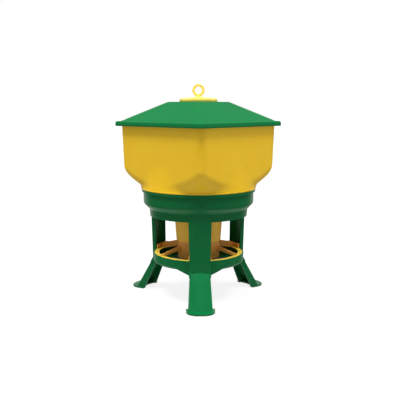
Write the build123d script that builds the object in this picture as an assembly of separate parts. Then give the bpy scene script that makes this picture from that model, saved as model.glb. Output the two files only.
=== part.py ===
from build123d import *
from collections import namedtuple
from math import radians, tan
import os

# Standing poultry feeder: a square hopper with a loose lid sits in a round collar on a one-piece
# stand. Feed falls through the hopper's funnel and a drop tube into the stand's round tray,
# where a grille with six fins keeps the birds out. Three splayed legs plug into the stand.
# Millimetres, +Z up. The origin is on the feeder's axis at floor level, and the front is -Y.
# The square hopper and lid stand on their corner, so that one corner points to the front.

# Wall thicknesses and fits
stand_wall = 3.5
leg_wall = 3.5
hopper_wall = 3.5
lid_wall = 3.0
tube_wall = 3.0
grille_wall = 3.0
fit = 0.3                   # clearance of pieces that seat in each other
loose_fit = 1.0             # clearance of pieces that drop into each other
lid_room = 3.0              # free space between the hopper's rim and the lid's skirt

# Heights above the floor, each from the one below it
seam_z = 112.0                              # legs plug into the stand here
tray_depth = 32.5
window_height = 125.5                       # from the tray's rim up to the collar
collar_height = 90.0
hopper_height = 217.0                       # above the collar
lid_rise = 62.0
eye_rise = 37.0
tray_floor_z = seam_z + 1                   # underside of the feed tray
tray_rim_z = tray_floor_z + tray_depth
tray_ledge_z = tray_rim_z - grille_wall     # the grille's ring lies here, flush with the rim
collar_foot_z = tray_rim_z + window_height
collar_top_z = collar_foot_z + collar_height
hopper_rim_z = collar_top_z + hopper_height
lid_ledge_z = hopper_rim_z + lid_wall       # the lid lies on the hopper's rim
lid_top_z = lid_ledge_z + lid_rise
eye_centre_z = lid_top_z + eye_rise

# Stand: tray
tray_r = 151.0
tray_round = 11.0
tray_ledge = 3.5            # width of the ledge inside the rim
tray_ledge_slope = 6.0
spreader_r = 64.0           # low cone that pushes the feed outwards
spreader_height = 14.0

# Stand: collar, wider than the tray by these steps
band_out = 11.5
step_out = 1.0
shoulder_step = 3.0         # fine step line round the collar's shoulder
shoulder_out = 16.0
lip_out = 6.0
lip_height = 8.5
band_r = tray_r + band_out
step_r = band_r + step_out
shoulder_r = step_r + shoulder_step
collar_r = shoulder_r + shoulder_out
lip_r = collar_r + lip_out
band_z = collar_foot_z + 14
collar_step_z = collar_foot_z + 25
collar_knee_z = collar_foot_z + 45
pip_r = 3.0
pip_out = 0.8
pip_z = collar_top_z - 26
pip_x = -5.5

# Hopper
hopper_top_side = 367.0
hopper_draft = 5.75         # each wall leans in by this from the rim down to the collar
hopper_corner = 22.0
hopper_rim_out = 6.0        # stiffening flange round the open top
hopper_rim_height = 6.0
neck_out = 1.5              # the neck stands out over the collar's lip
neck_ring_height = 4.0
hopper_low_side = hopper_top_side - 2 * hopper_draft
neck_r = lip_r + neck_out
neck_cone_z = collar_top_z + 12
neck_flare_z = collar_top_z + 31            # flat walls spread out to the neck from here down
hopper_knee_z = collar_top_z + 51           # the conical chamfer starts at the corners here
hopper_knee_round = 12.0
plug_height = 16.0          # round plug inside the stand's collar
funnel_depth = 76.0
funnel_foot_z = collar_top_z - funnel_depth
spigot_r = 75.0
spigot_length = 30.0
bead_height = 4.0           # snap bead that holds the drop tube
bead_out = 1.2

# Lid
lid_flare = 3.0             # the skirt's lip stands out this far
lid_side = hopper_top_side + 2 * (hopper_rim_out + lid_room + lid_wall + lid_flare)
lid_corner = 20.0
lid_skirt_z = hopper_rim_z - 13
lid_lip_z = lid_skirt_z + 4
lid_ledge_width = 14.8      # flat ledge outside the roof, measured at the corners
lid_ledge_round = 2.0
lid_plateau_half = 99.0     # half diagonal of the flat top
lid_hole_r = 24.0

# Lid cap with the lifting eye
cap_r = 62.0
cap_edge = 10.0
cap_dome = 5.0
eye_hole_r = 11.8
eye_ring = 8.2
eye_thick = 9.0
eye_neck_r = 6.5
snap_out = 1.8              # hook under the lid's skin
snap_height = 4.0
stem_wall = 2.5

# Drop tube
tube_top_r = spigot_r + fit + tube_wall * 1.1
tube_taper = 4.6            # the tube narrows by this towards its foot
tube_foot_r = tube_top_r - tube_taper
tube_foot_z = tray_rim_z + 42.5
tube_taper_z = funnel_foot_z - spigot_length - 3
tube_top_gap = 1.0

# Grille
ring_width = 15.2
ring_r = tray_r - stand_wall - fit
ring_inner_r = ring_r - ring_width
fin_thick = 5.0
fin_top_z = tray_rim_z + 28.5               # three low fins between the uprights
fin_tip_z = tray_rim_z + 4
fin_foot_z = tray_rim_z + 12.5
arm_top_z = tray_rim_z + 34.5               # three tall arms behind the uprights
arm_tip_z = tray_rim_z + 15
arm_r = ring_r - 2.2
tab_half_angle = 14.0       # upstanding tab at each arm's end
tab_wall = 3.0
hub_r = tube_foot_r - tube_wall - loose_fit
hub_foot_z = tray_floor_z + 17
hub_in_tube = 14.0

# Uprights and legs are channels that open towards the axis. Each section is given by the
# radius and half width of the flanks' inner edges, of the face's edges and of its flat middle.
Section = namedtuple("Section", "z inner_r inner_half edge_r edge_half face_r flat_half")
upright_top = Section(
    collar_step_z + 10, band_r - 9.5, 33.0, band_r - 4.5, 33.0, band_r + 5.5, 12.0)
upright_bend = Section(
    collar_foot_z - 3, band_r - 11.5, 35.0, band_r + 1.5, 36.5, band_r + 5.0, 15.0)
upright_foot = Section(
    seam_z, tray_r - 4.0, 31.5, tray_r + 10.5, 32.0, tray_r + 14.0, 20.0)
leg_top = Section(
    seam_z, tray_r - 8.0, 32.2, tray_r + 10.0, 31.8, tray_r + 14.0, 10.0)
leg_splay = 65.0            # the leg's foot stands out this far from its top
leg_foot = Section(
    0.0, leg_top.inner_r + leg_splay - 15, 39.0, leg_top.edge_r + leg_splay, 37.5,
    leg_top.face_r + leg_splay, 11.0)
upright_angles = [0, 120, 240]
edge_round = 2.5

# Leg details
shelf = 4.0                 # closes the leg's top and carries the stand
tongue_height = 26.0
tongue_half = 24.0
tongue_thick = 4.5
toe_r = leg_foot.face_r + 23                # tip of the rounded toe plate
toe_half = 45.0
toe_corner = 37.0
foot_plate = 6.0
foot_notch = 14.0           # hollow in the plate's inner edge
cheek_z = seam_z - 15       # the stand's cheeks grip the leg down to here
cheek_wall = 2.0
cheek_top = 10.0
skirt_half = 90.0           # the tray wall runs down to each leg from this half width
skirt_knee_half = 66.0
skirt_foot_z = seam_z - 14


def rounded_square(side, corner, z):
    """A square with its corners on the X and Y axes, at height z."""
    return Pos(0, 0, z) * Rot(0, 0, 45) * RectangleRounded(side, side, corner)


def side_of(half_diagonal, corner):
    """The side of a rounded square whose half diagonal is given."""
    return (half_diagonal + corner * (2 ** 0.5 - 1)) * 2 ** 0.5


def diagonal_of(side, corner):
    """Half the diagonal of a rounded square."""
    return side / 2 ** 0.5 - corner * (2 ** 0.5 - 1)


def turned(points):
    """A solid of revolution about the feeder's axis, from (radius, height) points."""
    outline = Polyline([(r, 0, z) for r, z in points], close=True)
    return revolve(make_face(outline), Axis.Z)


def section_at(low, high, z):
    """The channel section at height z on the line from low to high."""
    share = (z - low.z) / (high.z - low.z)
    return Section(*[a + (b - a) * share for a, b in zip(low, high)])


def channel_face(section, grow, open_by=0.0):
    """The section's outline as a flat face; grow moves its walls out or in."""
    lean = (section.inner_half - section.edge_half) / (section.edge_r - section.inner_r)
    half = [
        (section.inner_half + grow + lean * open_by, -(section.inner_r - open_by)),
        (section.edge_half + grow, -(section.edge_r + grow * 0.7)),
        (section.flat_half, -(section.face_r + grow)),
    ]
    points = half + [(-x, y) for x, y in reversed(half)]
    face = make_face(Polyline(points, close=True))
    corners = [v for v in face.vertices() if v.Y < -(section.inner_r + 1)]
    face = fillet(corners, edge_round)
    return Pos(0, 0, section.z) * face


def channel_solid(low, high, z_low, z_high, grow=0.0, open_by=0.0):
    """A straight loft of the channel's outline between two heights."""
    faces = [channel_face(section_at(low, high, z), grow, open_by) for z in (z_low, z_high)]
    return loft(faces, ruled=True)


def around(shape):
    """The same shape at each of the three uprights."""
    return [Rot(0, 0, angle) * shape for angle in upright_angles]


def hopper_outer(inset):
    """The hopper's outer form, or its hollow when inset by the wall."""
    top = rounded_square(hopper_top_side - 2 * inset, hopper_corner - inset, hopper_rim_z)
    low = rounded_square(hopper_low_side - 2 * inset, hopper_corner - inset, collar_top_z)
    walls = loft([low, top], ruled=True)
    share = (hopper_knee_z - collar_top_z) / hopper_height
    knee_side = hopper_low_side + (hopper_top_side - hopper_low_side) * share
    knee_r = diagonal_of(knee_side, hopper_corner)
    slope = (knee_r - neck_r) / (hopper_knee_z - neck_cone_z)
    wide = hopper_top_side
    cone_top_z = neck_cone_z + (wide - neck_r) / slope
    chamfer = turned([
        (0, collar_top_z + inset),
        (neck_r - inset, collar_top_z + inset),
        (neck_r - inset, neck_cone_z + inset * 0.3),
        (wide - inset, cone_top_z + inset * 0.3),
        (wide - inset, hopper_rim_z),
        (0, hopper_rim_z),
    ])
    bin_form = walls & chamfer
    knee = bin_form.edges().filter_by(lambda e: on_knee(e @ 0.5, neck_r - inset))
    return fillet(knee, hopper_knee_round - inset)


def on_knee(point, inner_r):
    """True for points on the soft edge between the hopper's walls and its chamfer."""
    if not neck_cone_z < point.Z < hopper_knee_z + hopper_knee_round / 2:
        return False
    return point.X ** 2 + point.Y ** 2 > inner_r ** 2


def make_hopper():
    """Square bin, chamfered to a round neck, with a funnel and a spigot below."""
    plug_r = collar_r - stand_wall - loose_fit
    plug_foot_z = collar_top_z - plug_height
    spigot_foot_z = funnel_foot_z - spigot_length
    bead_z = funnel_foot_z - spigot_length / 2
    neck = turned([
        (0, collar_top_z),
        (neck_r, collar_top_z),
        (neck_r, collar_top_z + neck_ring_height),
        (plug_r - 1, neck_flare_z),
        (0, neck_flare_z),
    ])
    lower = turned([
        (0, collar_top_z + neck_ring_height),
        (plug_r, collar_top_z + neck_ring_height),
        (plug_r, plug_foot_z),
        (spigot_r + hopper_wall, funnel_foot_z),
        (spigot_r, funnel_foot_z),
        (spigot_r, bead_z + bead_height / 2),
        (spigot_r + bead_out, bead_z + bead_height / 4),
        (spigot_r + bead_out, bead_z - bead_height / 4),
        (spigot_r, bead_z - bead_height / 2),
        (spigot_r, spigot_foot_z),
        (0, spigot_foot_z),
    ])
    hollow = turned([
        (0, neck_cone_z),
        (neck_r - hopper_wall - 9, neck_cone_z),
        (plug_r - hopper_wall, collar_top_z + 2),
        (plug_r - hopper_wall, plug_foot_z + 1.5),
        (spigot_r - hopper_wall, funnel_foot_z + 1.5),
        (spigot_r - hopper_wall, spigot_foot_z - 1),
        (0, spigot_foot_z - 1),
    ])
    rim_side = hopper_top_side + 2 * hopper_rim_out
    rim = extrude(rounded_square(rim_side, hopper_corner + hopper_rim_out, hopper_rim_z), -hopper_rim_height)
    body = hopper_outer(0) + rim + neck + lower
    return body - hopper_outer(hopper_wall) - hollow


def make_lid():
    """Shallow square roof with a flat top, a flat ledge and a flared skirt."""
    def shell(inset, drop, extra, round_r):
        side = lid_side - 2 * lid_flare
        outer = side - 2 * inset
        corner = lid_corner - lid_flare / 2 - inset
        ledge_half = diagonal_of(side, lid_corner - lid_flare / 2) - lid_ledge_width
        ledge = side_of(ledge_half, corner) - inset
        plateau = side_of(lid_plateau_half, lid_corner) - inset
        roof = loft([
            rounded_square(ledge, corner, lid_ledge_z - drop),
            rounded_square(plateau, corner, lid_top_z - drop),
        ], ruled=True)
        skirt = loft([
            rounded_square(lid_side - 2 * inset, lid_corner - inset, lid_skirt_z - extra),
            rounded_square(outer, corner, lid_lip_z),
            rounded_square(outer, corner, lid_ledge_z - drop),
        ], ruled=True)
        skirt = fillet(skirt.edges().group_by(Axis.Z)[-1], round_r)
        return roof + skirt
    lid = shell(0, 0, 0, lid_ledge_round) - shell(lid_wall, lid_wall, 0.01, lid_ledge_round / 2)
    return lid - Pos(0, 0, lid_top_z) * Cylinder(lid_hole_r, 4 * lid_wall)


def make_lid_cap():
    """Disc with a low dome, a lifting eye above and a snap stem through the lid."""
    stem_r = lid_hole_r - fit
    hook_z = lid_top_z - lid_wall - fit
    disc = turned([
        (0, lid_top_z),
        (cap_r - 1, lid_top_z),
        (cap_r, lid_top_z + 1),
        (cap_r, lid_top_z + cap_edge - 2),
        (cap_r - 2, lid_top_z + cap_edge),
        (cap_r * 0.55, lid_top_z + cap_edge + cap_dome * 0.8),
        (eye_neck_r * 2.2, lid_top_z + cap_edge + cap_dome),
        (eye_neck_r * 1.2, lid_top_z + cap_edge + cap_dome + 3),
        (eye_neck_r, lid_top_z + cap_edge + cap_dome + 7),
        (0, lid_top_z + cap_edge + cap_dome + 7),
    ])
    stem = turned([
        (stem_r - stem_wall, lid_top_z + 1),
        (stem_r, lid_top_z + 1),
        (stem_r, hook_z),
        (stem_r + snap_out, hook_z),
        (stem_r, hook_z - snap_height),
        (stem_r - stem_wall, hook_z - snap_height),
    ])
    slot = Pos(stem_r, 0, hook_z) * Box(12, 5, 2 * lid_wall + 8)
    slots = [Rot(0, 0, 45 + 90 * k) * slot for k in range(4)]
    slots = [slot & turned([(0, 0), (100, 0), (100, lid_top_z - 0.5), (0, lid_top_z - 0.5)]) for slot in slots]
    eye_face = Plane.XZ * (Circle(eye_hole_r + eye_ring) - Circle(eye_hole_r))
    eye = extrude(eye_face, eye_thick / 2, both=True)
    eye = fillet(eye.edges().filter_by(GeomType.CIRCLE), 2)
    return disc + (stem - slots) + Pos(0, 0, eye_centre_z) * eye


def make_feed_tube():
    """Drop tube that snaps over the hopper's spigot and sleeves the grille's hub."""
    seat_r = spigot_r + fit
    top_z = funnel_foot_z - tube_top_gap
    bead_z = funnel_foot_z - spigot_length / 2
    groove_r = seat_r + bead_out
    return turned([
        (seat_r, top_z),
        (tube_top_r + 0.6, top_z),
        (tube_top_r, tube_taper_z),
        (tube_foot_r, tube_foot_z),
        (tube_foot_r - tube_wall, tube_foot_z),
        (seat_r, tube_taper_z),
        (seat_r, bead_z - bead_height / 2 - fit),
        (groove_r, bead_z - bead_height / 4 - fit),
        (groove_r, bead_z + bead_height / 4 + fit),
        (seat_r, bead_z + bead_height / 2 + fit),
    ])


def radial_plate(points):
    """A plate of the fins' thickness standing along +X, from (radius, height) points."""
    outline = Polyline([(r, 0, z) for r, z in points], close=True)
    return extrude(make_face(outline), fin_thick / 2, both=True)


def make_grille():
    """Flat ring on the tray's ledge, low fins, tall arms with end tabs, and a hub."""
    ring = turned([
        (ring_inner_r, tray_ledge_z),
        (ring_r, tray_ledge_z),
        (ring_r, tray_rim_z),
        (ring_inner_r, tray_rim_z),
    ])
    hub = turned([
        (hub_r - grille_wall, hub_foot_z),
        (hub_r, hub_foot_z),
        (hub_r, tube_foot_z + hub_in_tube),
        (hub_r - grille_wall, tube_foot_z + hub_in_tube),
    ])
    fin_root = hub_r - grille_wall / 2
    fin = radial_plate([
        (fin_root, fin_top_z),
        (arm_r - 2, fin_tip_z),
        (arm_r - 2, tray_rim_z - 1),
        (ring_inner_r, tray_ledge_z),
        (fin_root, fin_foot_z),
    ])
    arm = radial_plate([
        (fin_root, arm_top_z),
        (arm_r, arm_tip_z),
        (arm_r, tray_rim_z - 1),
        (ring_inner_r, tray_ledge_z),
        (fin_root, fin_foot_z),
    ])
    tab_r = ring_r - 0.5
    tab = turned([
        (tab_r - tab_wall, tray_rim_z - 1),
        (tab_r, tray_rim_z - 1),
        (tab_r, arm_tip_z),
        (tab_r - tab_wall, arm_tip_z),
    ])
    reach = ring_r * 1.2
    wide = reach * tan(radians(tab_half_angle))
    sector = make_face(Polyline([(0, 0, 0), (reach, -wide, 0), (reach, wide, 0)], close=True))
    arm = arm + (tab & extrude(sector, 2 * arm_tip_z))
    fins = [Rot(0, 0, 90) * fin for fin in around(fin)]
    arms = [Rot(0, 0, -90) * arm for arm in around(arm)]
    return ring + hub + fins + arms


def collar_profile(inset):
    """Points of the collar's wall, from the top down; inset moves them inwards."""
    return [
        (collar_r - inset, collar_top_z - lip_height),
        (collar_r - inset, collar_knee_z + 3),
        (collar_r - 1.5 - inset, collar_knee_z - 3),
        (shoulder_r - inset, collar_step_z + 1.5),
        (step_r - inset, collar_step_z),
        (step_r - 1 - inset, band_z + 2),
        (band_r - inset, band_z),
        (band_r - 1.5 - inset, collar_foot_z),
    ]


def make_stand():
    """One moulding: collar, three channel uprights, feed tray and the leg sockets."""
    wall = collar_profile(0)
    bore = collar_profile(stand_wall)
    lip = [(lip_r, collar_top_z), (lip_r, collar_top_z - lip_height)]
    collar = turned(lip + wall + [(0, collar_foot_z), (0, collar_top_z)])
    hollow_top = [(0, collar_top_z + 1), (collar_r - stand_wall, collar_top_z + 1)]
    collar_hollow = turned(hollow_top + bore + [(0, collar_foot_z)])
    sections = [upright_foot, upright_bend, upright_top]
    upright = loft([channel_face(section, 0) for section in sections], ruled=True)
    upright = upright - channel_solid(
        upright_foot, upright_bend, seam_z - 1, collar_foot_z - stand_wall, -stand_wall, 20)
    rib_z = tray_rim_z - seam_z
    rib_x = upright_foot.edge_half - stand_wall / 2
    rib = Pos(0, -tray_r, seam_z + rib_z / 2) * Box(stand_wall - 1, 8, rib_z)
    ribs = [Pos(x, 0, 0) * rib for x in (-rib_x, rib_x)]
    shell = collar + around(upright + ribs) - collar_hollow

    bowl = turned([(0, tray_floor_z), (tray_r, tray_floor_z), (tray_r, tray_rim_z), (0, tray_rim_z)])
    bowl = fillet(bowl.edges().sort_by(Axis.Z)[0], tray_round)
    inside = turned([
        (0, tray_floor_z + stand_wall + spreader_height),
        (spreader_r, tray_floor_z + stand_wall),
        (tray_r - stand_wall, tray_floor_z + stand_wall),
        (tray_r - stand_wall, tray_ledge_z - tray_ledge_slope),
        (tray_r - stand_wall - tray_ledge, tray_ledge_z),
        (tray_r - stand_wall, tray_ledge_z),
        (tray_r - stand_wall, tray_rim_z),
        (0, tray_rim_z),
    ])
    floor_edges = inside.edges().filter_by(GeomType.CIRCLE).group_by(SortBy.RADIUS)[-1]
    inside = fillet(floor_edges.sort_by(Axis.Z)[0], tray_round - stand_wall)
    skirt_ring = turned([
        (tray_r - stand_wall, skirt_foot_z),
        (tray_r, skirt_foot_z),
        (tray_r, tray_floor_z + tray_round + 2),
        (tray_r - stand_wall, tray_floor_z + tray_round + 2),
    ])
    web = make_face(Polyline([
        (-skirt_half, 0, tray_floor_z + tray_round),
        (skirt_half, 0, tray_floor_z + tray_round),
        (skirt_knee_half, 0, tray_floor_z),
        (leg_top.inner_half, 0, skirt_foot_z),
        (-leg_top.inner_half, 0, skirt_foot_z),
        (-skirt_knee_half, 0, tray_floor_z),
    ], close=True))
    skirt = skirt_ring & extrude(web, -200)
    grow = fit + cheek_wall
    cheek = channel_solid(leg_foot, leg_top, cheek_z, seam_z + cheek_top, grow)
    cheek = cheek & (Pos(0, -150, 0) * (Box(200, 100, 400) - Box(2 * upright_foot.edge_half - 4, 120, 400)))
    leg_room = channel_solid(leg_foot, leg_top, cheek_z - 5, seam_z, fit, 30)
    socket = skirt + cheek - leg_room
    stand = shell + bowl + around(socket) - inside
    pip = Pos(pip_x, -(collar_r + pip_out), pip_z) * Rot(-90, 0, 0) * Cylinder(
        pip_r, pip_out * 2, align=(Align.CENTER, Align.CENTER, Align.MIN))
    return stand + pip


def make_leg():
    """Splayed channel leg with a tongue for the stand and a round toe plate."""
    body = channel_solid(leg_foot, leg_top, 0, seam_z)
    body = body - channel_solid(leg_foot, leg_top, -1, seam_z - shelf, -leg_wall, 40)
    back = -leg_foot.inner_r
    tip = -toe_r
    toe = Polyline([(toe_half, back), (toe_half, tip), (-toe_half, tip), (-toe_half, back)], close=True)
    toe = make_face(toe)
    toe = fillet(toe.vertices().group_by(Axis.Y)[0], toe_corner)
    notch_r = (toe_half ** 2 + foot_notch ** 2) / (2 * foot_notch)
    toe = toe - Pos(0, back - foot_notch + notch_r) * Circle(notch_r)
    plate = extrude(toe, foot_plate)
    tongue_r = (tray_r + upright_foot.face_r - stand_wall) / 2
    tongue = Pos(0, -tongue_r, seam_z - 1) * Box(
        2 * tongue_half, tongue_thick, tongue_height + 1, align=(Align.CENTER, Align.CENTER, Align.MIN))
    return body + plate + tongue


def write(shape, name):
    """Writes one node and prints its volume."""
    export_step(shape, f"parts/{name}.step")
    print(name, len(shape.solids()), "solid", round(shape.volume / 1000, 1), "cm3")


os.makedirs("parts", exist_ok=True)
write(make_hopper(), "hopper")
write(make_lid(), "lid")
write(make_lid_cap(), "lid_cap")
write(make_feed_tube(), "feed_tube")
write(make_grille(), "grille")
write(make_stand(), "stand")
for name, angle in zip(["leg_front", "leg_right", "leg_left"], upright_angles):
    write(Rot(0, 0, angle) * make_leg(), name)
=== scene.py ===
import bpy
import bmesh
import math
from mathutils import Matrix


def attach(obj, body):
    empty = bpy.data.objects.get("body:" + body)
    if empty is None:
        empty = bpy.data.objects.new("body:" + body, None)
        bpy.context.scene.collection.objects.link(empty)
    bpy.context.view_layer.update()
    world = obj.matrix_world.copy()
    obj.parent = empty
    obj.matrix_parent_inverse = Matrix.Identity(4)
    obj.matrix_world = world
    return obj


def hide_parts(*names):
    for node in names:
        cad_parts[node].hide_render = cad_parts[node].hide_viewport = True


# Standing poultry feeder in moulded polypropylene: a yellow hopper, drop tube and grille,
# and a green lid, stand and legs. Metres, +Z up, the front leg towards -Y.

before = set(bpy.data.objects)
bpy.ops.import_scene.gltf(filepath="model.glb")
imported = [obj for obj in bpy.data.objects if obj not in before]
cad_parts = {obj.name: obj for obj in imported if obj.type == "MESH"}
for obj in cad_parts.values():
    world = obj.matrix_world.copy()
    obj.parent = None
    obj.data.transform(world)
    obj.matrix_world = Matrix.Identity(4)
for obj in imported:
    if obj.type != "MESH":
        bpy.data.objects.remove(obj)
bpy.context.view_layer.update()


mm = 0.001


def linear(hexText):
    # sRGB hex to linear RGBA
    values = [int(hexText[i:i + 2], 16) / 255 for i in (1, 3, 5)]
    values = [v / 12.92 if v <= 0.04045 else ((v + 0.055) / 1.055) ** 2.4 for v in values]
    return tuple(values) + (1.0,)


def addNode(tree, kind, settings=None, inputs=None, links=None):
    # Adds a node with its settings, input values and links from other nodes' outputs
    node = tree.nodes.new(kind)
    for key, value in (settings or {}).items():
        setattr(node, key, value)
    for key, value in (inputs or {}).items():
        node.inputs[key].default_value = value
    for key, source in (links or {}).items():
        tree.links.new(source, node.inputs[key])
    return node


def newObject(name, data):
    thing = bpy.data.objects.new(name, data)
    bpy.context.scene.collection.objects.link(thing)
    return thing


studio = {
    "cameraPlace": (-0.0639, -2.157, 0.632),
    "cameraPitch": -8.25,       # degrees, looking down
    "cameraTurn": -1.83,        # degrees, to the right
    "lens": 58.86,
    "sensor": 36.0,
    "viewDepth": 100.0,
    "leftStrength": 2.75,       # two wide softboxes, high up on the left and right
    "rightStrength": 2.2,
    "softboxSpread": 18.0,      # degrees across
    "softboxHeight": 68.0,      # degrees above the horizon
    "softboxSide": 56.0,        # degrees away from the front
    "softboxMirrored": False,   # so they leave no bright spot on the plastic
    "domeHorizon": 0.04,        # soft light from all round, brighter overhead
    "domeTop": 1.0,
    "worldSeen": 1.0,           # white behind the feeder
    "flagGloss": 0.12,          # glossy faces mirror dim flags beside and before the feeder,
    "backdropGloss": 1.0,       # a white backdrop behind it
    "ceilingGloss": 0.2,        # and a dim ceiling
    "behindFrom": 0.5,          # where behind starts, as the sine of the angle from the side
    "ceilingFrom": 0.21,        # where the ceiling starts, as the sine of the height,
    "ceilingFull": 0.49,        # and where it is reached
    "floorSize": 30.0,
    "floorColour": "#f4f3f0",
    "floorGlow": 0.86,          # the floor is a lit table, so the shadow on it is faint
    "floorBounce": "#969692",   # what it gives back to the feeder's matt faces
    "floorFar": "#353534",      # what glossy faces mirror of it, except behind the feeder,
    "floorNearRadius": 0.15,    # from this far out
    "floorFarRadius": 0.5,      # and in full from here
}


def makeCamera(values):
    camera = newObject("camera", bpy.data.cameras.new("camera"))
    camera.location = values["cameraPlace"]
    pitch, turn = math.radians(90 + values["cameraPitch"]), math.radians(values["cameraTurn"])
    camera.rotation_euler = (pitch, 0, turn)
    camera.data.sensor_width = values["sensor"]
    camera.data.lens = values["lens"]
    camera.data.clip_end = values["viewDepth"]
    bpy.context.scene.camera = camera


def makeSoftbox(name, strength, side, values):
    lamp = bpy.data.lights.new(name, "SUN")
    lamp.energy = strength
    lamp.angle = math.radians(values["softboxSpread"])
    box = newObject(name, lamp)
    box.visible_glossy = values["softboxMirrored"]
    box.rotation_euler = (math.radians(90 - values["softboxHeight"]), 0, math.radians(side))


def makeWorld(values):
    world = bpy.data.worlds.new("paleStudio")
    bpy.context.scene.world = world
    world.use_nodes = True
    tree = world.node_tree
    tree.nodes.clear()
    white = (1, 1, 1, 1)
    path = addNode(tree, "ShaderNodeLightPath")
    place = addNode(tree, "ShaderNodeTexCoord")
    direction = addNode(tree, "ShaderNodeSeparateXYZ", links={0: place.outputs["Generated"]})
    # what the feeder is lit by
    dome = addNode(tree, "ShaderNodeMapRange", inputs={
        "To Min": values["domeHorizon"], "To Max": values["domeTop"]},
        links={"Value": direction.outputs["Z"]})
    light = addNode(tree, "ShaderNodeBackground", inputs={"Color": white},
                    links={"Strength": dome.outputs["Result"]})
    # what its glossy faces mirror
    back = addNode(tree, "ShaderNodeMapRange", inputs={
        "From Min": values["behindFrom"],
        "To Min": values["flagGloss"], "To Max": values["backdropGloss"]},
        links={"Value": direction.outputs["Y"]})
    band = addNode(tree, "ShaderNodeMapRange", inputs={
        "From Min": values["ceilingFrom"], "From Max": values["ceilingFull"],
        "To Max": values["ceilingGloss"]},
        links={"Value": direction.outputs["Z"], "To Min": back.outputs["Result"]})
    mirrored = addNode(tree, "ShaderNodeBackground", inputs={"Color": white},
                       links={"Strength": band.outputs["Result"]})
    # what the camera sees
    seen = addNode(tree, "ShaderNodeBackground", inputs={
        "Color": white, "Strength": values["worldSeen"]})
    lit = addNode(tree, "ShaderNodeMixShader", links={
        0: path.outputs["Is Glossy Ray"], 1: light.outputs[0], 2: mirrored.outputs[0]})
    mix = addNode(tree, "ShaderNodeMixShader", links={
        0: path.outputs["Is Camera Ray"], 1: lit.outputs[0], 2: seen.outputs[0]})
    addNode(tree, "ShaderNodeOutputWorld", links={"Surface": mix.outputs[0]})


def floorPaint(values):
    paint = bpy.data.materials.new("paleFloorPaint")
    paint.use_nodes = True
    tree = paint.node_tree
    tree.nodes.clear()
    path = addNode(tree, "ShaderNodeLightPath")
    # what the camera sees: pale paint on a lit table
    matt = addNode(tree, "ShaderNodeBsdfDiffuse", inputs={"Color": linear(values["floorColour"])})
    glow = addNode(tree, "ShaderNodeEmission", inputs={"Color": (1, 1, 1, 1)})
    seen = addNode(tree, "ShaderNodeMixShader", inputs={0: values["floorGlow"]}, links={
        1: matt.outputs[0], 2: glow.outputs[0]})
    # what glossy faces mirror: darker away from the feeder, except behind it
    far = addNode(tree, "ShaderNodeBsdfDiffuse", inputs={"Color": linear(values["floorFar"])})
    place = addNode(tree, "ShaderNodeTexCoord")
    distance = addNode(tree, "ShaderNodeVectorMath", {"operation": "LENGTH"}, links={
        0: place.outputs["Object"]})
    spot = addNode(tree, "ShaderNodeSeparateXYZ", links={0: place.outputs["Object"]})
    bearing = addNode(tree, "ShaderNodeMath", {"operation": "DIVIDE"}, links={
        0: spot.outputs["Y"], 1: distance.outputs["Value"]})
    front = addNode(tree, "ShaderNodeMapRange", inputs={
        "From Min": values["behindFrom"], "To Min": 1.0, "To Max": 0.0},
        links={"Value": bearing.outputs[0]})
    away = addNode(tree, "ShaderNodeMapRange", inputs={
        "From Min": values["floorNearRadius"], "From Max": values["floorFarRadius"]},
        links={"Value": distance.outputs["Value"]})
    farFront = addNode(tree, "ShaderNodeMath", {"operation": "MULTIPLY"}, links={
        0: away.outputs["Result"], 1: front.outputs["Result"]})
    mirroredFar = addNode(tree, "ShaderNodeMath", {"operation": "MULTIPLY"}, links={
        0: farFront.outputs[0], 1: path.outputs["Is Glossy Ray"]})
    direct = addNode(tree, "ShaderNodeMixShader", links={
        0: mirroredFar.outputs[0], 1: seen.outputs[0], 2: far.outputs[0]})
    # what it gives back to the feeder
    bounce = addNode(tree, "ShaderNodeBsdfDiffuse", inputs={
        "Color": linear(values["floorBounce"])})
    mix = addNode(tree, "ShaderNodeMixShader", links={
        0: path.outputs["Is Diffuse Ray"], 1: direct.outputs[0], 2: bounce.outputs[0]})
    addNode(tree, "ShaderNodeOutputMaterial", links={"Surface": mix.outputs[0]})
    return paint


def makeFloor(values):
    size = values["floorSize"]
    corners = [(-size, -size, 0), (size, -size, 0), (size, size, 0), (-size, size, 0)]
    mesh = bpy.data.meshes.new("floor")
    mesh.from_pydata(corners, [], [(0, 1, 2, 3)])
    mesh.materials.append(floorPaint(values))
    floor = newObject("floor", mesh)


makeCamera(studio)
makeSoftbox("softboxLeft", studio["leftStrength"], -studio["softboxSide"], studio)
makeSoftbox("softboxRight", studio["rightStrength"], studio["softboxSide"], studio)
makeWorld(studio)
makeFloor(studio)
bpy.context.scene.view_settings.view_transform = "Standard"
print("studio ready")

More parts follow.
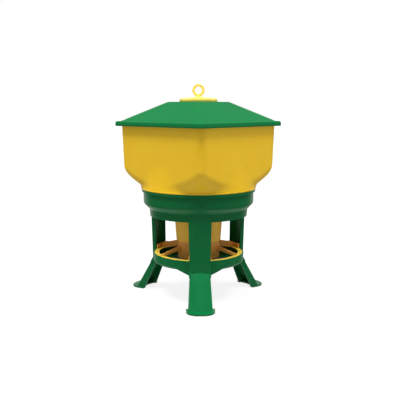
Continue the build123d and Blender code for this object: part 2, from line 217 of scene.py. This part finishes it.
plastics = {
    # moulded polypropylene: evenly coloured and satin, its gloss a little uneven from the mould
    "yellowPolypropylene": {
        "colour": "#ecc226", "deep": "#e4b620", "roughness": 0.38, "specular": 0.3,
        "peelMm": 1.6, "peelDepthMm": 0.012, "cloudMm": 90.0},
    # the same for the drop tube, lighter and warmer: painted light for a tube that stands in
    # shade
    "yellowPolypropyleneTubePaintedLight": {
        "colour": "#ffcc4c", "deep": "#fbc442", "roughness": 0.38, "specular": 0.3,
        "peelMm": 1.6, "peelDepthMm": 0.012, "cloudMm": 60.0},
    # the same for the grille, with painted shade and sheen: its hub and arms are painted orange
    # for the warm shade they stand in, its ring pale, a painted sheen of the white backdrop. The
    # ring lies low and far from the axis; both colours meet between these radii and heights
    "yellowGrillePaintedShadeAndSheen": {
        "colour": "#fdb459", "deep": "#f4aa4e", "roughness": 0.36, "specular": 0.4,
        "peelMm": 1.6, "peelDepthMm": 0.01, "cloudMm": 40.0,
        "ringSheenColour": "#ecce50", "sheenRadiusMm": (127.0, 132.0), "sheenHeightMm": (146.0, 150.0)},
    # the same, dyed deep green and a touch glossier
    "greenPolypropylene": {
        "colour": "#046836", "deep": "#046032", "roughness": 0.33, "specular": 0.3,
        "peelMm": 1.6, "peelDepthMm": 0.012, "cloudMm": 70.0},
    # the same for the lid, more matt, so its roof looks soft, and lighter: painted light for its
    # lit roof
    "greenPolypropyleneLidPaintedLight": {
        "colour": "#05723a", "deep": "#056a36", "roughness": 0.4, "specular": 0.3,
        "peelMm": 1.6, "peelDepthMm": 0.012, "cloudMm": 90.0},
    # natural, lightly tinted polypropylene: smooth, and light sinks into it a little
    "paleYellowPolypropylene": {
        "colour": "#fadf70", "deep": "#f5d658", "roughness": 0.3, "specular": 0.5,
        "peelMm": 1.2, "peelDepthMm": 0.008, "cloudMm": 30.0,
        "scatter": 0.35, "scatterMm": 4.0, "scatterColours": (1.0, 0.8, 0.3)},
}
mouldSkin = {
    "ior": 1.49,                # polypropylene
    "cloudDetail": 2.0, "cloudRoughness": 0.5, "peelDetail": 1.0,
    "darkCloud": 0.35, "lightCloud": 0.65,      # how far the clouds swing
    "glossier": 0.03, "moreMatt": 0.04,         # and the roughness with them
}


def paintRingSheen(tree, place, colour, values):
    # Mixes in a painted sheen: a pale colour on the part that lies far from the axis and low
    fromRadius, toRadius = (radius * mm for radius in values["sheenRadiusMm"])
    fromHeight, toHeight = (height * mm for height in values["sheenHeightMm"])
    spot = addNode(tree, "ShaderNodeSeparateXYZ", links={0: place.outputs["Object"]})
    level = addNode(tree, "ShaderNodeCombineXYZ", links={
        "X": spot.outputs["X"], "Y": spot.outputs["Y"]})
    radius = addNode(tree, "ShaderNodeVectorMath", {"operation": "LENGTH"}, links={
        0: level.outputs[0]})
    outside = addNode(tree, "ShaderNodeMapRange", inputs={
        "From Min": fromRadius, "From Max": toRadius}, links={"Value": radius.outputs["Value"]})
    below = addNode(tree, "ShaderNodeMapRange", inputs={
        "From Min": fromHeight, "From Max": toHeight, "To Min": 1.0, "To Max": 0.0},
        links={"Value": spot.outputs["Z"]})
    sheenMask = addNode(tree, "ShaderNodeMath", {"operation": "MULTIPLY"}, links={
        0: outside.outputs["Result"], 1: below.outputs["Result"]})
    return addNode(tree, "ShaderNodeMix", {"data_type": "RGBA"}, {
        7: linear(values["ringSheenColour"])}, {0: sheenMask.outputs[0], 6: colour.outputs[2]})


def mouldedPlastic(name, values, skin):
    plastic = bpy.data.materials.new(name)
    plastic.use_nodes = True
    tree = plastic.node_tree
    shader = tree.nodes["Principled BSDF"]
    place = addNode(tree, "ShaderNodeTexCoord")
    # slow clouds of colour, as the pigment lies in the plastic; a scale is 1000 / size in mm
    clouds = addNode(tree, "ShaderNodeTexNoise", inputs={
        "Scale": 1000 / values["cloudMm"],
        "Detail": skin["cloudDetail"], "Roughness": skin["cloudRoughness"]},
        links={"Vector": place.outputs["Object"]})
    colour = addNode(tree, "ShaderNodeMix", {"data_type": "RGBA"}, {
        6: linear(values["deep"]), 7: linear(values["colour"])}, {0: clouds.outputs["Fac"]})
    # a painted sheen on the grille's ring
    if "ringSheenColour" in values:
        colour = paintRingSheen(tree, place, colour, values)
    tree.links.new(colour.outputs[2], shader.inputs["Base Color"])
    # the mould's uneven polish: a little glossier in dark clouds, more matt in light ones
    gloss = addNode(tree, "ShaderNodeMapRange", inputs={
        "From Min": skin["darkCloud"], "From Max": skin["lightCloud"],
        "To Min": values["roughness"] - skin["glossier"],
        "To Max": values["roughness"] + skin["moreMatt"]},
        links={"Value": clouds.outputs["Fac"]})
    tree.links.new(gloss.outputs["Result"], shader.inputs["Roughness"])
    # fine ripple of the moulded skin
    peel = addNode(tree, "ShaderNodeTexNoise", inputs={
        "Scale": 1000 / values["peelMm"], "Detail": skin["peelDetail"]},
        links={"Vector": place.outputs["Object"]})
    bump = addNode(tree, "ShaderNodeBump", inputs={
        "Strength": 1.0, "Distance": values["peelDepthMm"] * mm},
        links={"Height": peel.outputs["Fac"]})
    tree.links.new(bump.outputs["Normal"], shader.inputs["Normal"])
    shader.inputs["IOR"].default_value = skin["ior"]
    shader.inputs["Specular IOR Level"].default_value = values["specular"]
    if "scatter" in values:
        shader.inputs["Subsurface Weight"].default_value = values["scatter"]
        shader.inputs["Subsurface Scale"].default_value = values["scatterMm"] * mm
        shader.inputs["Subsurface Radius"].default_value = values["scatterColours"]
    return plastic


finish = {name: mouldedPlastic(name, values, mouldSkin) for name, values in plastics.items()}
print("plastics ready")


def roundEdges(piece, widthMm, fromAngle):
    # The small radius that a mould leaves on every edge of more than fromAngle degrees
    rounding = piece.modifiers.new("mouldedEdges", "BEVEL")
    rounding.width = widthMm * mm
    rounding.segments = 2
    rounding.limit_method = "ANGLE"
    rounding.angle_limit = math.radians(fromAngle)
    rounding.harden_normals = True


def smoothFaces(mesh, upTo):
    # Faces shade into each other over edges of up to this many degrees
    mesh.shade_smooth()
    mesh.set_sharp_from_angle(angle=math.radians(upTo))


# Each of these CAD nodes is merged, its flat faces joined, and its edges rounded.
mouldings = {
    "lid_cap": {"piece": "liftingEyeCap", "plastic": "paleYellowPolypropylene",
                "slot": "pale_yellow_plastic", "edgeMm": 0.6, "edgeAngle": 30},
    "feed_tube": {"piece": "dropTube", "plastic": "yellowPolypropyleneTubePaintedLight",
                  "slot": "yellow_plastic", "edgeMm": 0.6, "edgeAngle": 30},
    "stand": {"piece": "standMoulding", "plastic": "greenPolypropylene",
              "slot": "green_plastic", "edgeMm": 0.9, "edgeAngle": 26},
    "leg_front": {"piece": "legFront", "plastic": "greenPolypropylene",
                  "slot": "green_plastic", "edgeMm": 0.9, "edgeAngle": 26},
    "leg_right": {"piece": "legRight", "plastic": "greenPolypropylene",
                  "slot": "green_plastic", "edgeMm": 0.9, "edgeAngle": 26},
    "leg_left": {"piece": "legLeft", "plastic": "greenPolypropylene",
                 "slot": "green_plastic", "edgeMm": 0.9, "edgeAngle": 26},
}
cleaning = {
    "mergeMm": 0.004,           # corners nearer than this are one
    "flatAngle": 0.6,           # degrees, up to which faces are joined into one
    "sliverMm": 0.05,           # edges shorter than this are closed up
    "smoothAngle": 40,
}


def mouldedCopy(node, values, clean):
    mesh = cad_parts[node].data.copy()
    mesh.name = values["piece"]
    form = bmesh.new()
    form.from_mesh(mesh)
    bmesh.ops.remove_doubles(form, verts=form.verts, dist=clean["mergeMm"] * mm)
    bmesh.ops.dissolve_limit(form, angle_limit=math.radians(clean["flatAngle"]),
                             verts=form.verts, edges=form.edges)
    bmesh.ops.dissolve_degenerate(form, dist=clean["sliverMm"] * mm, edges=form.edges)
    form.to_mesh(mesh)
    form.free()
    mesh.materials.clear()
    mesh.materials.append(finish[values["plastic"]])
    piece = newObject(values["piece"], mesh)
    roundEdges(piece, values["edgeMm"], values["edgeAngle"])
    smoothFaces(mesh, clean["smoothAngle"])
    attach(piece, "root")
    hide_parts(node)


for node, values in mouldings.items():
    mouldedCopy(node, values, cleaning)
    print("made", values["piece"])


def squareRadius(angle, half, corner):
    # Distance to a rounded square, its corners on the X and Y axes
    turn = abs((angle + math.pi / 2) % (math.pi / 2) - math.pi / 4)
    along, across = math.cos(turn), math.sin(turn)
    if half * across / along <= half - corner:
        return half / along
    centre = half - corner
    reach = (along + across) * centre
    return reach + math.sqrt(max(reach * reach - 2 * centre * centre + corner * corner, 0))


def evenAngles(samples):
    return [math.tau * i / samples for i in range(samples)]


def ringAt(z, radii):
    # Points in mm, evenly round the axis, one for each radius
    angles = evenAngles(len(radii))
    return [(r * math.cos(a), r * math.sin(a), z) for a, r in zip(angles, radii)]


def closedRings(name, rings):
    # A closed skin through rings of points in mm; the last ring joins the first
    form = bmesh.new()
    rows = [[form.verts.new((x * mm, y * mm, z * mm)) for x, y, z in ring] for ring in rings]
    for row, below in zip(rows, rows[1:] + rows[:1]):
        for i in range(len(row)):
            j = (i + 1) % len(row)
            form.faces.new((row[i], below[i], below[j], row[j]))
    bmesh.ops.recalc_face_normals(form, faces=form.faces)
    mesh = bpy.data.meshes.new(name)
    form.to_mesh(mesh)
    form.free()
    return newObject(name, mesh)


# Square walls run smoothly into a round neck, as the plastic flowed in the mould. All in mm.
hopper = {
    "samples": 480,             # points round each ring
    "smoothAngle": 50,
    "topSide": 367.0, "topZ": 578.0,
    "lowSide": 355.5, "lowZ": 361.0,            # the neck's seat on the collar
    "corner": 22.0,
    "rimOut": 6.0, "rimHeight": 6.0,
    "softEdge": 0.8,            # on the mouth, under the rim and on the spigot's foot
    "kneeRadius": 244.0, "kneeZ": 412.0,        # the chamfer of the four corners, from here
    "neckRadius": 188.0, "neckZ": 371.5,        # to here,
    "kneeBlend": 34.0, "neckBlend": 10.0,       # and how softly it meets wall and neck
    "flareTopRadius": 167.5, "flareTopZ": 460.0,    # the flat walls bow out from here
    "flareFootRadius": 188.6, "flareFootZ": 367.0,  # into the round neck
    "flarePower": 0.7, "flareBlend": 10.0,
    "lipRadius": 190.0, "lipZ": 365.8,
    "wall": 3.5,
    "wallLevel": 1.15,          # a sloping wall measured level, in wall thicknesses
    "plugRadius": 178.0, "plugFootZ": 345.0, "funnelFootZ": 285.0,
    "spigotRadius": 75.0, "spigotFootZ": 255.0, "beadZ": 270.0, "beadOut": 1.2,
    "wallRings": [570, 565, 550, 530, 510, 490, 470, 455, 445, 438],
    "chamferRings": [432 - 3 * i for i in range(20)],
    "neckRings": [374, 373, 372, 371, 370, 369, 368, 367, 366.4],
}


def softMin(a, b, blend):
    share = min(max(0.5 + 0.5 * (b - a) / blend, 0), 1)
    return b + (a - b) * share - blend * share * (1 - share)


def hopperRadius(angle, z, h, out=0.0):
    # The outside of wall, chamfer and neck at this height, grown outwards by out
    share = (z - h["lowZ"]) / (h["topZ"] - h["lowZ"])
    half = (h["lowSide"] + (h["topSide"] - h["lowSide"]) * share) / 2
    wall = squareRadius(angle, half + out, h["corner"] + out)
    slope = (h["kneeRadius"] - h["neckRadius"]) / (h["kneeZ"] - h["neckZ"])
    rise = (z - h["neckZ"]) * slope
    chamfer = -softMin(-h["neckRadius"], -h["neckRadius"] - rise, h["neckBlend"])
    body = softMin(wall, chamfer, h["kneeBlend"])
    share = min(max((h["flareTopZ"] - z) / (h["flareTopZ"] - h["flareFootZ"]), 0), 1)
    spread = (h["flareFootRadius"] - h["flareTopRadius"]) * share ** h["flarePower"]
    neck = -softMin(-body, -h["flareTopRadius"] - spread, h["flareBlend"])
    return min(neck, h["flareFootRadius"]) if z <= h["flareFootZ"] else neck


def makeHopper(h):
    top, seat, wall, level = h["topZ"], h["lowZ"], h["wall"], h["wall"] * h["wallLevel"]
    lip, plug, spigot = h["lipRadius"], h["plugRadius"], h["spigotRadius"]
    plugFoot, funnelFoot, spigotFoot = h["plugFootZ"], h["funnelFootZ"], h["spigotFootZ"]
    bead, beadRadius, edge = h["beadZ"], h["spigotRadius"] + h["beadOut"], h["softEdge"]
    angles = evenAngles(h["samples"])

    def shaped(z, shapeZ, out=0.0, inset=0.0):
        return ringAt(z, [hopperRadius(a, shapeZ, h, out) - inset for a in angles])

    # the rim, its upper edge softened
    rings = [shaped(z, top, h["rimOut"] - inset) for z, inset in (
        (top, 1.0), (top - 0.3, 0.3), (top - 1, 0), (top - h["rimHeight"] + 0.6, 0))]
    rings.append(shaped(top - h["rimHeight"], top, edge))
    # the outside, down to the neck
    rings += [shaped(z, z) for z in h["wallRings"] + h["chamferRings"] + h["neckRings"]]
    # lip, plug, funnel, bead and spigot as radius and height; the tenths round their edges
    turned = [
        (lip - 0.5, h["lipZ"] + 0.1), (lip, h["lipZ"] - 0.5),
        (lip, seat + 1), (lip - 0.4, seat + 0.4), (lip - 1.4, seat),
        (plug + 0.6, seat), (plug, seat - 0.6), (plug, plugFoot + 1), (plug - 1, plugFoot - 0.3),
        (spigot + wall, funnelFoot + 0.4), (spigot, funnelFoot - 0.6),
        (spigot, bead + 2), (beadRadius, bead + 1), (beadRadius, bead - 1), (spigot, bead - 2),
        (spigot, spigotFoot + edge), (spigot - edge, spigotFoot),
        (spigot - wall + edge, spigotFoot), (spigot - wall, spigotFoot + edge),
        (spigot - wall, funnelFoot + 1.5), (plug - wall, plugFoot + 1.5), (plug - wall, seat + 2),
    ]
    rings += [ringAt(z, [radius] * h["samples"]) for radius, z in turned]
    # the inside, up to the mouth
    rings += [shaped(z, z, inset=level) for z in reversed(h["wallRings"] + h["chamferRings"])]
    rings += [shaped(top - 1, top, inset=level), shaped(top, top, inset=level - edge)]
    piece = closedRings("hopperBin", rings)
    piece.data.materials.append(finish["yellowPolypropylene"])
    smoothFaces(piece.data, h["smoothAngle"])
    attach(piece, "root")
    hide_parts("hopper")


makeHopper(hopper)
print("made hopperBin")

# A shallow roof with soft edges. Each profile point is the distance from the axis to the flat
# side, the height, the plan's corner radius there and how far the edge is rounded. All in mm.
lid = {
    "samples": 480,
    "smoothAngle": 50,
    "holeRadius": 24.0,
    "holeEdge": 0.4,            # softened edge of the hole
    "holeLand": 8.0,            # width of the round land beside it
    "middle": (60.0, 643.0, 20.0, 0.0),
    "plateau": (75.9, 643.0, 20.0, 5.0),
    "roofFoot": (184.9, 581.0, 18.5, 3.0),
    "ledgeEdge": (197.2, 581.0, 19.0, 6.0),
    "lip": (198.3, 568.0, 20.0, 1.2),
    "foot": (197.0, 565.0, 19.5, 0.5),
    "footInside": (194.0, 565.0, 17.0, 0.0),
    "footInsideEdge": (194.0, 565.4, 16.6, 0.0),
    "wall": 3.0,
    "insideEdges": 0.6,         # how far the inside's edges are rounded, against the outside's
    "arcSteps": 5,
}


def roundedProfile(points, steps):
    # Each corner of the line of (half, z, corner, round) points becomes a short arc
    soft = []
    for before, point, after in zip([None] + points[:-1], points, points[1:] + [None]):
        if point[3] == 0:
            soft.append(point[:3])
            continue
        ends = []
        for other in (before, after):
            run = math.hypot(other[0] - point[0], other[1] - point[1])
            share = min(point[3] / run, 0.45)       # two arcs leave some of the line between them
            ends.append([a + (b - a) * share for a, b in zip(point[:3], other[:3])])
        for i in range(steps + 1):
            t = i / steps
            soft.append([(1 - t) ** 2 * a + 2 * t * (1 - t) * b + t * t * c
                         for a, b, c in zip(ends[0], point[:3], ends[1])])
    return soft


def makeLid(values):
    wall, top, steps = values["wall"], values["plateau"][1], values["arcSteps"]
    radius, edge = values["holeRadius"], values["holeEdge"]
    land = radius + values["holeLand"]
    angles = evenAngles(values["samples"])

    def square(half, z, corner):
        return ringAt(z, [squareRadius(a, half, corner) for a in angles])

    def hole(r, z):
        return ringAt(z, [r] * values["samples"])

    outer = [values[name] for name in (
        "middle", "plateau", "roofFoot", "ledgeEdge", "lip", "foot", "footInside")]
    inner = [(half - wall, z - wall, corner - wall, soft * values["insideEdges"])
             for half, z, corner, soft in (
                 values["ledgeEdge"], values["roofFoot"], values["plateau"])]
    half, z, corner, soft = values["middle"]
    inner = [values["footInsideEdge"]] + inner + [(half, z - wall, corner, soft)]
    rings = [hole(radius + edge, top), hole(land, top)]
    rings += [square(*point)
              for point in roundedProfile(outer, steps) + roundedProfile(inner, steps)]
    rings += [hole(land, top - wall), hole(radius + edge, top - wall),
              hole(radius, top - wall + edge), hole(radius, top - edge)]
    piece = closedRings("hopperLid", rings)
    piece.data.materials.append(finish["greenPolypropyleneLidPaintedLight"])
    smoothFaces(piece.data, values["smoothAngle"])
    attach(piece, "root")
    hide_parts("lid")


makeLid(lid)
print("made hopperLid")

# A ring on the tray's ledge, a hub, and fins and arms that repeat round the axis. Sizes in mm.
grille = {
    "Ring Radius": 147.2, "Ring Inner": 132.0, "Ring Foot": 142.5, "Ring Top": 145.5,
    "Hub Radius": 70.0, "Hub Wall": 3.0, "Hub Foot": 130.0, "Hub Top": 202.0,
    "Fin Thickness": 5.0, "Fin Count": 3, "Fin Reach": 143.0,
    "Fin Root Top": 174.0, "Fin Tip Top": 149.5, "Fin Root Foot": 158.0,
    "Arm Reach": 145.0, "Arm Root Top": 180.0, "Arm Tip Top": 160.5,
    "Tab Wall": 3.0, "Tab Half Angle": 14.0,
}
grilleMaking = {
    "turn": 90.0,               # the first low fin points away from the front
    "ringSteps": 192, "tabSteps": 24, "bladeSteps": 9,
    "footLiftMm": 0.4,          # a blade's tip ends this far above the ring's foot
    "tabInMm": 0.5,             # a tab stands this far in from the ring's edge
    "tabSinkMm": 1.0,           # and reaches this far down into the ring
    "mergeMm": 0.001,
    "roundMm": 0.7,
    "edgeAngle": 40,
}


def makeGrilleTree(values, making, plastic):
    tree = bpy.data.node_groups.new("grilleTree", "GeometryNodeTree")
    for name, value in values.items():
        kind = "NodeSocketInt" if name == "Fin Count" else "NodeSocketFloat"
        socket = tree.interface.new_socket(name=name, in_out="INPUT", socket_type=kind)
        socket.default_value = value
    tree.interface.new_socket(name="Geometry", in_out="OUTPUT", socket_type="NodeSocketGeometry")
    given = addNode(tree, "NodeGroupInput")

    def sized(name):
        # An input in mm, turned into metres
        return addNode(tree, "ShaderNodeMath", {"operation": "MULTIPLY"}, {1: mm}, {
            0: given.outputs[name]}).outputs[0]

    def maths(operation, a, b):
        node = addNode(tree, "ShaderNodeMath", {"operation": operation})
        for i, source in enumerate((a, b)):
            if isinstance(source, (int, float)):
                node.inputs[i].default_value = source
            else:
                tree.links.new(source, node.inputs[i])
        return node.outputs[0]

    def hoop(outer, wall, foot, top, path):
        # A flat-sided ring, or an arc of one, along the path, which is given its radius here
        middle = maths("SUBTRACT", outer, maths("MULTIPLY", wall, 0.5))
        tree.links.new(middle, path.inputs["Radius"])
        section = addNode(tree, "GeometryNodeCurvePrimitiveQuadrilateral", links={
            "Width": wall, "Height": maths("SUBTRACT", top, foot)})
        swept = addNode(tree, "GeometryNodeCurveToMesh", inputs={"Fill Caps": True}, links={
            "Curve": path.outputs["Curve"], "Profile Curve": section.outputs["Curve"]})
        lift = addNode(tree, "ShaderNodeCombineXYZ", links={
            "Z": maths("MULTIPLY", maths("ADD", foot, top), 0.5)})
        return addNode(tree, "GeometryNodeTransform", links={
            "Geometry": swept.outputs["Mesh"], "Translation": lift.outputs[0]}).outputs[0]

    def circle():
        return addNode(tree, "GeometryNodeCurvePrimitiveCircle", inputs={
            "Resolution": making["ringSteps"]})

    def blade(reach, rootTop, tipTop):
        # An upright plate from the hub to the ring, its top and foot sloping outwards
        root = maths("SUBTRACT", sized("Hub Radius"), maths("MULTIPLY", sized("Hub Wall"), 0.5))
        span = maths("SUBTRACT", reach, root)
        size = addNode(tree, "ShaderNodeCombineXYZ", inputs={"Z": 1.0}, links={
            "X": span, "Y": sized("Fin Thickness")})
        plate = addNode(tree, "GeometryNodeMeshCube", inputs={
            "Vertices X": making["bladeSteps"]}, links={"Size": size.outputs[0]})
        position = addNode(tree, "GeometryNodeInputPosition")
        spot = addNode(tree, "ShaderNodeSeparateXYZ", links={0: position.outputs[0]})
        x = maths("ADD", maths("ADD", spot.outputs["X"], maths("MULTIPLY", span, 0.5)), root)
        upper = addNode(tree, "ShaderNodeMapRange", links={
            "Value": x, "From Min": root, "From Max": reach,
            "To Min": rootTop, "To Max": tipTop}).outputs[0]
        lower = addNode(tree, "ShaderNodeMapRange", links={
            "Value": x, "From Min": root, "From Max": sized("Ring Inner"),
            "To Min": sized("Fin Root Foot"),
            "To Max": maths("ADD", sized("Ring Foot"), making["footLiftMm"] * mm)}).outputs[0]
        height = addNode(tree, "ShaderNodeMapRange", inputs={
            "From Min": -0.5, "From Max": 0.5}, links={
            "Value": spot.outputs["Z"], "To Min": lower, "To Max": upper}).outputs[0]
        place = addNode(tree, "ShaderNodeCombineXYZ", links={
            "X": x, "Y": spot.outputs["Y"], "Z": height})
        return addNode(tree, "GeometryNodeSetPosition", links={
            "Geometry": plate.outputs["Mesh"], "Position": place.outputs[0]}).outputs[0]

    def repeated(shape, turn):
        # The shape, once for each fin, round the axis
        spots = addNode(tree, "GeometryNodePoints", links={"Count": given.outputs["Fin Count"]})
        step = maths("DIVIDE", math.tau, given.outputs["Fin Count"])
        index = addNode(tree, "GeometryNodeInputIndex")
        angle = maths("ADD", maths("MULTIPLY", index.outputs[0], step), math.radians(turn))
        spin = addNode(tree, "ShaderNodeCombineXYZ", links={"Z": angle})
        return addNode(tree, "GeometryNodeInstanceOnPoints", links={
            "Points": spots.outputs[0], "Instance": shape,
            "Rotation": spin.outputs[0]}).outputs[0]

    ringWall = maths("SUBTRACT", sized("Ring Radius"), sized("Ring Inner"))
    ring = hoop(sized("Ring Radius"), ringWall, sized("Ring Foot"), sized("Ring Top"), circle())
    hub = hoop(sized("Hub Radius"), sized("Hub Wall"), sized("Hub Foot"), sized("Hub Top"),
               circle())
    fin = blade(sized("Fin Reach"), sized("Fin Root Top"), sized("Fin Tip Top"))
    arm = blade(sized("Arm Reach"), sized("Arm Root Top"), sized("Arm Tip Top"))
    half = maths("MULTIPLY", given.outputs["Tab Half Angle"], math.pi / 180)
    bow = addNode(tree, "GeometryNodeCurveArc", {"mode": "RADIUS"}, {
        "Resolution": making["tabSteps"]}, {
        "Start Angle": maths("MULTIPLY", half, -1), "Sweep Angle": maths("MULTIPLY", half, 2)})
    tab = hoop(maths("SUBTRACT", sized("Ring Radius"), making["tabInMm"] * mm), sized("Tab Wall"),
               maths("SUBTRACT", sized("Ring Top"), making["tabSinkMm"] * mm),
               sized("Arm Tip Top"), bow)
    armWithTab = addNode(tree, "GeometryNodeJoinGeometry", links={0: arm})
    tree.links.new(tab, armWithTab.inputs[0])
    fins = repeated(fin, making["turn"])
    arms = repeated(armWithTab.outputs[0], making["turn"] + 180)
    joined = addNode(tree, "GeometryNodeJoinGeometry", links={0: ring})
    for part in (hub, fins, arms):
        tree.links.new(part, joined.inputs[0])
    plain = addNode(tree, "GeometryNodeRealizeInstances", links={0: joined.outputs[0]})
    coated = addNode(tree, "GeometryNodeSetMaterial", inputs={"Material": plastic}, links={
        0: plain.outputs[0]})
    addNode(tree, "NodeGroupOutput", links={0: coated.outputs[0]})
    return tree


def makeGrille(values, making):
    tree = makeGrilleTree(values, making, finish["yellowGrillePaintedShadeAndSheen"])
    holder = newObject("trayGrilleHolder", bpy.data.meshes.new("trayGrilleHolder"))
    nodes = holder.modifiers.new("grilleTree", "NODES")
    nodes.node_group = tree
    for socket in tree.interface.items_tree:
        if socket.in_out == "INPUT":
            nodes[socket.identifier] = values[socket.name]
    bpy.context.view_layer.update()
    finished = holder.evaluated_get(bpy.context.evaluated_depsgraph_get())
    mesh = bpy.data.meshes.new_from_object(finished)
    mesh.name = "trayGrille"
    bpy.data.objects.remove(holder)
    form = bmesh.new()
    form.from_mesh(mesh)
    bmesh.ops.remove_doubles(form, verts=form.verts, dist=making["mergeMm"] * mm)
    bmesh.ops.recalc_face_normals(form, faces=form.faces)
    form.to_mesh(mesh)
    form.free()
    piece = newObject("trayGrille", mesh)
    roundEdges(piece, making["roundMm"], making["edgeAngle"])
    smoothFaces(mesh, making["edgeAngle"])
    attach(piece, "root")
    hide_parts("grille")


makeGrille(grille, grilleMaking)
print("made trayGrille")
